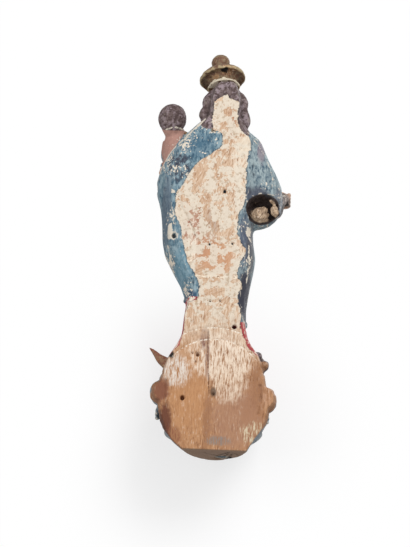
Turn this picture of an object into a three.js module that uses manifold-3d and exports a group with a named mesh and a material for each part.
// A carved and painted wooden Virgin and Child on a round cloud base, made with three.js.
// Millimetres, +Z up, front facing -Y, flat bare back on the +Y side, origin under the base.
import * as THREE from "three";
import { mergeVertices } from "three/addons/utils/BufferGeometryUtils.js";
import ManifoldModule from "manifold-3d";

const wasm = await ManifoldModule();
wasm.setup();

const { sin, cos, abs, max, min, PI } = Math;
const DEG = PI / 180;

// Driving sizes.
const BACK_Y = 28; // flat back of the block
const TRIM = 2; // what the blocked-out forms carry past the back before it is planed flat
const TOP_Z = 251; // top of the carved block, under the crown
const ROBE_INSET = 2.4; // how far the robe lies under the mantle
const PLEAT_DEPTH = 3.4; // upright pleats of the robe, crest to valley
const SWEEP_DEPTH = 2.4; // folds of the mantle across the front
const ARM_Y = 9; // depth of her right arm's middle
const JOINT_GAP = 0.3; // glue line between two pieces
const HEAD = new THREE.Vector3(1, 4, 238); // middle of the Virgin's head
const CHILD_HEAD = new THREE.Vector3(37.4, -8, 234);
const CHILD_SIDE = 42.6; // the child's outer side
const GLOBE = new THREE.Vector3(2.5, 4, 37); // middle of the cloud base
const CROWN_SEAT = new THREE.Vector3(2.8, 8, 252.7); // where the crown's axis meets the head
const CROWN_LEAN = 7.5 * DEG; // towards the child
const CROWN_NOD = 14 * DEG; // towards the front
const HORN_SEAT = new THREE.Vector3(31.5, -5, 60.5); // where the horn enters the base
const HORN_TIP = new THREE.Vector3(46, -6, 72.5);

// Outlines read from the height up: [height, value].
const LEFT_OUTLINE = [
  [0, 19.5], [2.3, 23.6], [9, 30.2], [18, 35.2], [28, 37.8], [41, 38.6], [51, 36.6], [61, 33.2],
  [71, 27], [77, 24.6], [88, 23.6], [100, 22.6], [105, 23.6], [113, 27.2], [122, 32.2], [131, 37.6],
  [144, 40.5], [157, 41], [168, 43], [179, 46], [189, 44.7], [200, 40.9], [210, 34.5], [218, 28],
  [223, 21.5], [227, 14.5], [231, 12.5], [240, 12.5], [247, 12], [251, 9.5],
];
const RIGHT_OUTLINE = [
  [0, 20.3], [6, 24.2], [13, 29.6], [18, 32.6], [25, 34.3], [34, 34.2], [42, 33], [52, 31], [60, 28.6],
  [66, 26], [70, 22.6], [75, 19.8], [81, 18.5], [97, 17.6], [106, 18.6], [115, 20.2], [127, 22.5],
  [134, 22.8], [143, 21], [151, 20], [166, 22], [182, 24], [200, 23], [213, 20.5], [219, 17],
  [224, 12.5], [228, 10.5], [240, 10.5], [247, 9.5], [251, 7],
];
// How far the flat back stops short of each outline.
const LEFT_BEVEL = [
  [0, 0.4], [30, 1.8], [60, 1.4], [95, 0.6], [105, 7], [118, 12], [150, 12], [165, 10.5], [177, 15],
  [200, 22], [216, 19], [227, 5], [251, 4],
];
const RIGHT_BEVEL = [
  [0, 0.4], [30, 1.6], [62, 1.2], [80, 2], [97, 4.5], [118, 9], [150, 10], [180, 9.5], [215, 7], [227, 4], [251, 3],
];
// The front of the block in side view, and the depth at which each level is widest.
const FRONT_OUTLINE = [
  [0, -17], [3, -23], [9, -31], [19, -38.5], [34, -42.5], [48, -40], [57, -33], [62, -27], [72, -21],
  [90, -17], [115, -14.5], [150, -14], [170, -14.5], [192, -14.5], [206, -12], [214, -7], [220, -1],
  [226, 3], [251, 3],
];
const WIDEST_DEPTH = [[0, 27], [8, 24], [20, 16], [40, 9], [60, 8], [251, 8]];
// The mantle round the figure, by angle from her left side (0) over the front (90) to her right (180).
const MANTLE_HEM = [[0, 101], [25, 103], [48, 113], [72, 126], [98, 121], [126, 105], [152, 91], [180, 85]];
const MANTLE_TOP = [[0, 225], [40, 222], [60, 210], [84, 190], [108, 208], [132, 221], [180, 225]];

// A smooth line through points [place, value], held level past both ends.
function smoothLine(points) {
  const last = points.length - 1;
  const slopes = points.map((_, i) => {
    const [a, b] = [points[max(i - 1, 0)], points[min(i + 1, last)]];
    return (b[1] - a[1]) / (b[0] - a[0]);
  });
  return (place) => {
    let i = 0;
    while (i < last - 1 && place > points[i + 1][0]) i += 1;
    const span = points[i + 1][0] - points[i][0];
    const t = THREE.MathUtils.clamp((place - points[i][0]) / span, 0, 1);
    const rise = points[i + 1][1] - points[i][1];
    const [m0, m1] = [slopes[i] * span, slopes[i + 1] * span];
    return points[i][1] + t * (m0 + t * (3 * rise - 2 * m0 - m1 + t * (m0 + m1 - 2 * rise)));
  };
}

const leftAt = smoothLine(LEFT_OUTLINE);
const rightAt = smoothLine(RIGHT_OUTLINE);
const leftBevelAt = smoothLine(LEFT_BEVEL);
const rightBevelAt = smoothLine(RIGHT_BEVEL);
const frontAt = smoothLine(FRONT_OUTLINE);
const widestAt = smoothLine(WIDEST_DEPTH);
const hemAt = smoothLine(MANTLE_HEM);
const mantleTopAt = smoothLine(MANTLE_TOP);

// A closed geometry as a solid that can be joined and cut.
function toSolid(geometry) {
  const bare = new THREE.BufferGeometry();
  bare.setAttribute("position", geometry.getAttribute("position"));
  if (geometry.index) bare.setIndex(geometry.index);
  const merged = mergeVertices(bare, 1e-4);
  const index = merged.index.array;
  const sound = [];
  for (let i = 0; i < index.length; i += 3) {
    const [a, b, c] = [index[i], index[i + 1], index[i + 2]];
    if (a !== b && b !== c && c !== a) sound.push(a, b, c);
  }
  const vertProperties = new Float32Array(merged.getAttribute("position").array);
  return new wasm.Manifold(new wasm.Mesh({ numProp: 3, vertProperties, triVerts: new Uint32Array(sound) }));
}

function toGeometry(solid) {
  const mesh = solid.getMesh();
  const geometry = new THREE.BufferGeometry();
  geometry.setAttribute("position", new THREE.BufferAttribute(new Float32Array(mesh.vertProperties), 3));
  geometry.setIndex(new THREE.BufferAttribute(new Uint32Array(mesh.triVerts), 1));
  geometry.computeVertexNormals();
  return geometry;
}

function joined(geometries) {
  return geometries.map(toSolid).reduce((whole, solid) => whole.add(solid));
}

// A closed body through rings of points, each ring running counterclockwise seen from its far end.
function loft(rings) {
  const size = rings[0].length;
  const points = rings.flat();
  const middle = (ring) => ring.reduce((sum, p) => sum.add(p), new THREE.Vector3()).divideScalar(size);
  const firstMiddle = points.push(middle(rings[0])) - 1;
  const lastMiddle = points.push(middle(rings.at(-1))) - 1;
  const index = [];
  for (let i = 0; i < size; i += 1) {
    const j = (i + 1) % size;
    for (let r = 0; r < rings.length - 1; r += 1) {
      const [low, high] = [r * size, (r + 1) * size];
      index.push(low + i, low + j, high + j, low + i, high + j, high + i);
    }
    const top = (rings.length - 1) * size;
    index.push(firstMiddle, j, i, lastMiddle, top + i, top + j);
  }
  const geometry = new THREE.BufferGeometry().setFromPoints(points);
  geometry.setIndex(index);
  return geometry;
}

function ellipsoid(centre, radii, turn = [0, 0, 0], segments = 12) {
  const geometry = new THREE.SphereGeometry(1, segments, max(4, Math.round(segments / 2)));
  geometry.rotateX(PI / 2);
  geometry.scale(...radii);
  geometry.applyMatrix4(new THREE.Matrix4().makeRotationFromEuler(new THREE.Euler(...turn)));
  geometry.translate(...centre);
  return geometry;
}

// A round limb, fold or lock: a smooth path with a thickness at each of its points.
function limb(path, radii, sides = 8, steps = 4 * (path.length - 1)) {
  const curve = new THREE.CatmullRomCurve3(path.map((p) => new THREE.Vector3(...p)), false, "centripetal");
  const thickness = smoothLine(radii.map((radius, i) => [i / (radii.length - 1), radius]));
  const frames = curve.computeFrenetFrames(steps, false);
  const rings = [];
  for (let s = 0; s <= steps; s += 1) {
    const centre = curve.getPoint(s / steps);
    const radius = max(thickness(s / steps), 0.15);
    rings.push(Array.from({ length: sides }, (_, i) => {
      const a = (2 * PI * i) / sides;
      return centre.clone()
        .addScaledVector(frames.normals[s], radius * cos(a))
        .addScaledVector(frames.binormals[s], radius * sin(a));
    }));
  }
  return loft(rings);
}

function turned(profile, segments) {
  const geometry = new THREE.LatheGeometry(profile.map(([r, z]) => new THREE.Vector2(r, z)), segments);
  geometry.rotateX(PI / 2);
  return geometry;
}

function box(low, high) {
  const geometry = new THREE.BoxGeometry(high[0] - low[0], high[1] - low[1], high[2] - low[2]);
  geometry.translate((low[0] + high[0]) / 2, (low[1] + high[1]) / 2, (low[2] + high[2]) / 2);
  return geometry;
}

// A point of the figure's section at one height. Angle 0 is her left side, 90 the front, 180 her right
// side, and 180 to 360 runs back along the flat back.
function sectionPoint(angle, z, inset = 0) {
  const left = leftAt(z) - inset;
  const right = -rightAt(z) + inset;
  const front = frontAt(z) + inset;
  const widest = widestAt(z);
  const behind = BACK_Y + TRIM - inset / 4;
  if (angle <= 180) {
    const a = angle * DEG;
    const squareness = z < 20 ? 1.15 - 0.015 * z : 0.85;
    const x = (left + right) / 2 + ((left - right) / 2) * Math.sign(cos(a)) * abs(cos(a)) ** squareness;
    return [x, widest - (widest - front) * sin(a) ** squareness];
  }
  const flatLeft = left - leftBevelAt(z) - 1;
  const flatRight = right + rightBevelAt(z) + 1;
  if (angle < 240) {
    const a = ((angle - 180) / 60) * (PI / 2);
    return [flatRight + (right - flatRight) * cos(a), widest + (behind - widest) * sin(a)];
  }
  if (angle > 300) {
    const a = ((360 - angle) / 60) * (PI / 2);
    return [flatLeft + (left - flatLeft) * cos(a), widest + (behind - widest) * sin(a)];
  }
  return [THREE.MathUtils.lerp(flatRight, flatLeft, (angle - 240) / 60), behind];
}

const SIDE_STEPS = [14, 32];
const SECTION_ANGLES = [
  ...Array.from({ length: 19 }, (_, i) => 10 * i),
  ...SIDE_STEPS.map((s) => 180 + s),
  240, 270, 300,
  ...SIDE_STEPS.map((s) => 360 - s).reverse(),
];

// Levels close together where the outline turns quickly.
function levels(from, to, step) {
  const count = Math.round((to - from) / step);
  return Array.from({ length: count + 1 }, (_, i) => from + ((to - from) * i) / count);
}

// The robe and the globe under it, from the underside to the back of the head. Every second column of
// the front stands proud, which carves upright pleats between the waist and the globe.
function robeAndGlobe() {
  const insetAt = (angle, z) => {
    const around = angle <= 180 ? angle : 360 - angle;
    const hem = hemAt(around);
    return ROBE_INSET * THREE.MathUtils.smoothstep(z, hem - 4, hem + 8) * (1 - THREE.MathUtils.smoothstep(z, 214, 228));
  };
  const pleatAt = smoothLine([[58, 0], [66, PLEAT_DEPTH], [95, PLEAT_DEPTH], [140, 0.8], [205, 0.5], [215, 0]]);
  const heights = [0, 1.5, 4, 8, 13, ...levels(19, 55, 6), ...levels(60, 80, 5), ...levels(90, 200, 10),
    ...levels(208, 228, 5), 240, TOP_Z];
  return loft(heights.map((z) => SECTION_ANGLES.map((angle, i) => {
    const pleat = angle > 15 && angle < 165 ? pleatAt(z) * (i % 2 - 0.5) : 0;
    return new THREE.Vector3(...sectionPoint(angle, z, insetAt(angle, z) + pleat), z);
  }).reverse()));
}

// The mantle: its lower ring follows the hem and its upper ring the open neck. Every second row stands
// proud, which carves folds that sweep across the front along the hem.
function mantle() {
  const rows = 12;
  return loft(Array.from({ length: rows + 1 }, (_, row) => SECTION_ANGLES.map((angle) => {
    const around = angle <= 180 ? angle : 360 - angle;
    const z = THREE.MathUtils.lerp(hemAt(around), mantleTopAt(around), row / rows);
    const fade = sin(min(angle, 180) * DEG) * sin((PI * row) / rows) ** 0.5;
    const sweep = SWEEP_DEPTH * fade * (row % 2 - 0.5);
    return new THREE.Vector3(...sectionPoint(angle, z, sweep), z);
  }).reverse()));
}

// Her right arm in a wide sleeve, with the hollowed, broken lower part and the closed hand.
function rightArm() {
  const outer = smoothLine([
    [153, 22], [154.5, 28], [157, 32.6], [161, 37], [166, 38.9], [175, 40.1], [181, 39.5], [189, 36.5],
    [200, 30.3], [209, 26.2], [216, 22.6], [222, 15],
  ]);
  const near = smoothLine([[153, 18], [160, 12], [222, 8]]);
  const depth = smoothLine([[153, 3], [157, 10], [164, 15], [190, 17], [212, 15], [222, 6]]);
  const heights = [153, 154.5, 157, 161, 166, ...levels(174, 214, 8), 222];
  const sides = 12;
  const sleeve = loft(heights.map((z) => Array.from({ length: sides }, (_, i) => {
    const a = (2 * PI * i) / sides;
    const halfWidth = (outer(z) - near(z)) / 2;
    return new THREE.Vector3(
      -(outer(z) + near(z)) / 2 + halfWidth * cos(a),
      ARM_Y + depth(z) * Math.sign(sin(a)) * abs(sin(a)) ** 0.8,
      z,
    );
  })));
  const hollow = ellipsoid([-26.6, 22, 163.5], [12.2, 14, 10], [0, 0.25, 0], 14);
  const stub = ellipsoid([-23.5, 13, 160.5], [7, 6.5, 5.6], [0.3, 0.4, 0.2], 8);
  const forearm = limb([[-31, 6, 171], [-40, -13, 181]], [8, 4.6], 8, 1);
  const cuff = limb([[-28, 3, 171], [-35, -9, 173.5]], [10, 8.6], 8, 1);
  const fist = ellipsoid([-41.2, -15.5, 182], [5, 5, 5.4], [0, 0, 0], 10);
  const grip = limb([[-43.5, -9, 173], [-42.2, -17, 183]], [1.7, 1.7], 6, 1);
  return { solids: [sleeve, forearm, cuff, fist], cuts: [hollow, grip], after: [stub] };
}

// Her left forearm and hand under the child.
function leftArm() {
  const forearm = limb([[37, 4, 181], [36.5, -12, 182], [35, -24, 184]], [8.5, 7, 4.6], 8, 2);
  const cuff = limb([[36, 2, 178], [35.5, -15, 179]], [9.5, 8.8], 9, 1);
  const palm = ellipsoid([33, -28.5, 186], [6.4, 4, 4.2], [0, 0.2, 0.5], 8);
  const fingers = [0, 1, 2, 3].map((i) => limb(
    [[30.5 - 0.5 * i, -30, 189 - 2 * i], [26.5 - 0.4 * i, -30.5, 190.2 - 2 * i], [23.5, -28.5, 190.6 - 2 * i]],
    [1.6, 1.4, 1], 4, 2,
  ));
  return [forearm, cuff, palm, ...fingers];
}

// A head facing the front: skull, nose and jaw, from the radii of the skull.
function face(centre, radius, height, segments) {
  const at = (x, y, z) => [centre.x + x * radius, centre.y - y * radius, centre.z + z * height];
  const size = (...parts) => parts.map((part) => part * radius);
  const skull = ellipsoid(centre.toArray(), [radius, radius * 1.06, height], [0, 0, 0], segments);
  const nose = limb([at(0, 0.94, 0.18), at(0, 1.2, -0.2)], size(0.1, 0.17), 4, 1);
  const jaw = ellipsoid(at(0, 0.3, -0.5), size(0.7, 0.72, 0.66), [0, 0, 0], 10);
  return [skull, nose, jaw];
}

// The Virgin's head, neck and parted hair in wavy locks.
function virginHead() {
  const skull = face(new THREE.Vector3(HEAD.x, HEAD.y - 2, HEAD.z - 1), 11.6, 15.2, 16);
  const neck = limb([[1, 6, 216], [1, 4.5, 232]], [9, 7.6], 10, 1);
  const crop = ellipsoid([HEAD.x + 0.2, HEAD.y + 6, HEAD.z + 2], [12.2, 18, 15.4], [0, 0, 0], 14);
  const locks = [];
  for (const side of [-1, 1]) {
    const middle = HEAD.x + 0.5;
    const reach = side > 0 ? 0 : -7;
    for (let i = 0; i < 2; i += 1) {
      const y = HEAD.y - 3 + 12 * i;
      const out = side * (11.5 + 1.4 * i);
      locks.push(limb(
        [
          [middle + side * 1.5, y - 2, HEAD.z + 14.2 - i],
          [middle + side * 6.4, y - 3 + i, HEAD.z + 9.5],
          [middle + out - side * 1.6, y + 1, HEAD.z + 2],
          [middle + out - side * 0.8, y + 2, HEAD.z - 3],
          [middle + out + side * 0.6, y + 1.4, HEAD.z - 7.5 + reach / 2],
          [middle + out - side * 1.8, y + 1, HEAD.z - 11.5 + reach],
        ],
        [1.4, 3.2, 4.1, 3.6, 4.3, 1.2], 6, 8,
      ));
    }
  }
  return [...skull, neck, crop, ...locks];
}

// The seated child: head with a fringe of hair, tunic, two arms and the legs under the hem.
function child() {
  const skull = face(new THREE.Vector3(CHILD_HEAD.x, CHILD_HEAD.y - 1.6, CHILD_HEAD.z - 0.8), 8.2, 9.8, 12);
  const hair = ellipsoid([CHILD_HEAD.x, CHILD_HEAD.y + 1.8, CHILD_HEAD.z + 0.6], [9.7, 9.3, 10.6], [0, 0, 0], 12);
  const nape = limb(
    [[CHILD_HEAD.x, CHILD_HEAD.y + 3, CHILD_HEAD.z - 4], [CHILD_HEAD.x, CHILD_HEAD.y + 2.5, CHILD_HEAD.z - 12]],
    [8.6, 4.6], 9, 1,
  );
  const bodyLevels = [190, 198, 206, 214, 220, 224, 226];
  const width = smoothLine([[190, 11.5], [205, 10.8], [218, 10.4], [223, 9], [226, 6]]);
  const bodyDepth = smoothLine([[190, 13], [205, 11], [218, 9.5], [226, 6]]);
  const sides = 12;
  const torso = loft(bodyLevels.map((z) => Array.from({ length: sides }, (_, i) => {
    const a = (2 * PI * i) / sides;
    return new THREE.Vector3(
      CHILD_SIDE - width(z) * (1 - Math.sign(cos(a)) * abs(cos(a)) ** 0.8) - max(0, z - 220) * 0.6,
      -9 + bodyDepth(z) * sin(a),
      z,
    );
  })));
  const lap = [-1, 1].flatMap((side) => {
    const x = 33.5 + 5 * side;
    const knee = [x + side, -31, 198 - side];
    return [
      limb([[x, -12, 197], knee, [x + side * 0.5, -32, 188], [x, -29.5, 177]], [7, 5.8, 5, 4.4], 7, 6),
      limb([[x, -29.5, 179], [x, -31, 173.5], [x - 0.5, -35.5, 171.5]], [2.7, 2.6, 1.8], 5, 3),
    ];
  });
  const skirt = ellipsoid([33.5, -20, 195], [10.5, 13, 6.5], [0.1, 0, 0], 10);
  const blessing = limb(
    [[26, -11, 219], [23, -17, 212.5], [22.5, -23, 216], [22.5, -25, 221.5]], [4.2, 4, 3.2, 2.6], 6, 5,
  );
  const blessingHand = ellipsoid([22.5, -25.3, 224.4], [2.5, 2, 3.4], [0, 0, 0], 6);
  const resting = limb([[39.5, -11, 219], [40.6, -17, 211], [40, -24.5, 207.5]], [4.2, 4, 3], 6, 4);
  const orb = ellipsoid([38.5, -28.5, 208.5], [4.4, 4.4, 4.4], [0, 0, 0], 10);
  return [...skull, hair, nape, torso, skirt, ...lap, blessing, blessingHand, resting, orb];
}

// A point on the globe's surface, from its bearing off the front and its height.
function onGlobe(bearing, z, lift = 0) {
  const angle = 90 - bearing;
  const [x, y] = sectionPoint(angle, z);
  const out = new THREE.Vector2(x - GLOBE.x, y - GLOBE.y).normalize();
  return new THREE.Vector3(x + out.x * lift, y + out.y * lift, z);
}

// A cherub: a small face with a ring of curls and two short wings.
function cherub(bearing, z, radius) {
  const parts = face(new THREE.Vector3(), radius, radius * 1.12, 10);
  const curls = 5;
  for (let i = 0; i < curls; i += 1) {
    const a = (190 * (i / (curls - 1)) - 5) * DEG;
    const place = [radius * 0.92 * cos(a), 0, radius * (1.02 * sin(a) + 0.12)];
    parts.push(ellipsoid(place, [radius * 0.42, radius * 0.7, radius * 0.42], [0, 0, 0], 6));
  }
  for (const side of [-1, 1]) {
    const place = [side * radius * 1.35, 0.35 * radius, -0.5 * radius];
    parts.push(ellipsoid(place, [radius * 0.85, radius * 0.4, radius * 0.5], [0, side * 0.5, side * 0.35], 6));
  }
  const place = onGlobe(bearing, z, -0.2 * radius);
  const stand = new THREE.Matrix4().makeRotationZ(bearing * DEG).setPosition(place);
  return parts.map((part) => part.applyMatrix4(stand));
}

// Cherub heads, billows of cloud, the crescent band and the curls beside the skirt.
function globeCarving() {
  const solids = [...cherub(0, 26, 9.4), ...cherub(54, 36, 7.6), ...cherub(-54, 36, 7.6)];
  for (const side of [-1, 1]) {
    solids.push(ellipsoid([GLOBE.x + side * 33.2, 9, 38.5 + 1.5 * side], [8.8, 12, 8], [0, 0, 0], 10));
    for (const [bearing, z, size] of [[30, 46, 7.5], [27, 14, 7.5], [56, 19, 7], [84, 50, 6]]) {
      const place = onGlobe(side * bearing, z, -0.6 * size);
      solids.push(ellipsoid(place.toArray(), [size, size, size * 0.8], [0, 0, side * bearing * DEG], 7));
    }
  }
  solids.push(ellipsoid([-25.2, 13, 65], [4.2, 6, 3.4], [0, 0.4, 0], 8));
  solids.push(ellipsoid([-30, 12, 58.8], [4.2, 6, 3.9], [0, 0.4, 0], 8));
  const bearings = [-76, -50, -25, 0, 25, 50, 70];
  const crescent = limb(
    bearings.map((bearing) => onGlobe(bearing, 51 + 8 * (bearing / 78) ** 2, 0).toArray()),
    [3.6, 4.6, 5.2, 5.4, 5.2, 4.6, 3.6], 6, 9,
  );
  return [...solids, crescent];
}

// The horn and the socket it stands in, along one line.
function horn(grow) {
  const along = new THREE.Vector3().subVectors(HORN_TIP, HORN_SEAT).normalize();
  const root = HORN_SEAT.clone().addScaledVector(along, -4 - grow);
  const middle = new THREE.Vector3().lerpVectors(HORN_SEAT, HORN_TIP, 0.45).add(new THREE.Vector3(0.4, 0, -0.9));
  return limb(
    [root.toArray(), HORN_SEAT.toArray(), middle.toArray(), HORN_TIP.toArray()],
    [4.2 + grow, 4.6 + grow, 3 + grow, 0.4 + grow], 9, 8,
  );
}

// The crown: a band, a hollow flare under a wide rim, a domed top and a ball.
function crown() {
  const profile = [
    [0, JOINT_GAP], [10.4, JOINT_GAP], [10.7, 1.4], [9.7, 2.3], [9.4, 5], [10.2, 7.3], [12, 8.2], [14, 7.7],
    [15.3, 6.9], [15.8, 8], [15.3, 9.5], [12.8, 12], [9.4, 14], [6, 15.4], [4.7, 16.2], [4.9, 17.1],
    [6, 18.9], [6.4, 21.2], [6, 23.5], [4.4, 25.5], [2.3, 26.6], [0, 26.9],
  ];
  return turned(profile, 24);
}

function crownPlace() {
  const turn = new THREE.Euler(CROWN_NOD, CROWN_LEAN, 0);
  return new THREE.Matrix4().makeRotationFromEuler(turn).setPosition(CROWN_SEAT);
}

function build() {
  const arm = rightArm();
  let block = joined([
    robeAndGlobe(), mantle(), ...arm.solids, ...leftArm(), ...virginHead(), ...child(), ...globeCarving(),
  ]);
  for (const cut of arm.cuts) block = block.subtract(toSolid(cut));
  for (const stub of arm.after) block = block.add(toSolid(stub));
  const place = crownPlace();
  block = block.subtract(toSolid(box([-60, -60, 0], [60, 60, 60]).applyMatrix4(place)));
  block = block.subtract(toSolid(horn(JOINT_GAP)));
  block = block.intersect(toSolid(box([-90, -90, 0], [90, BACK_Y, 300])));

  const group = new THREE.Group();
  group.name = "virgin_and_child_statue";
  const pieces = [
    ["statue", toGeometry(block), { color: 0xc49a6c, roughness: 0.8, metalness: 0 }],
    ["crown", crown().applyMatrix4(place), { color: 0x8a7a5c, roughness: 0.55, metalness: 0.3 }],
    ["moon_horn", horn(0), { color: 0x8d7a4f, roughness: 0.55, metalness: 0.3 }],
  ];
  for (const [name, geometry, finish] of pieces) {
    const mesh = new THREE.Mesh(geometry, new THREE.MeshStandardMaterial(finish));
    mesh.name = name;
    group.add(mesh);
  }
  return group;
}

export default build();
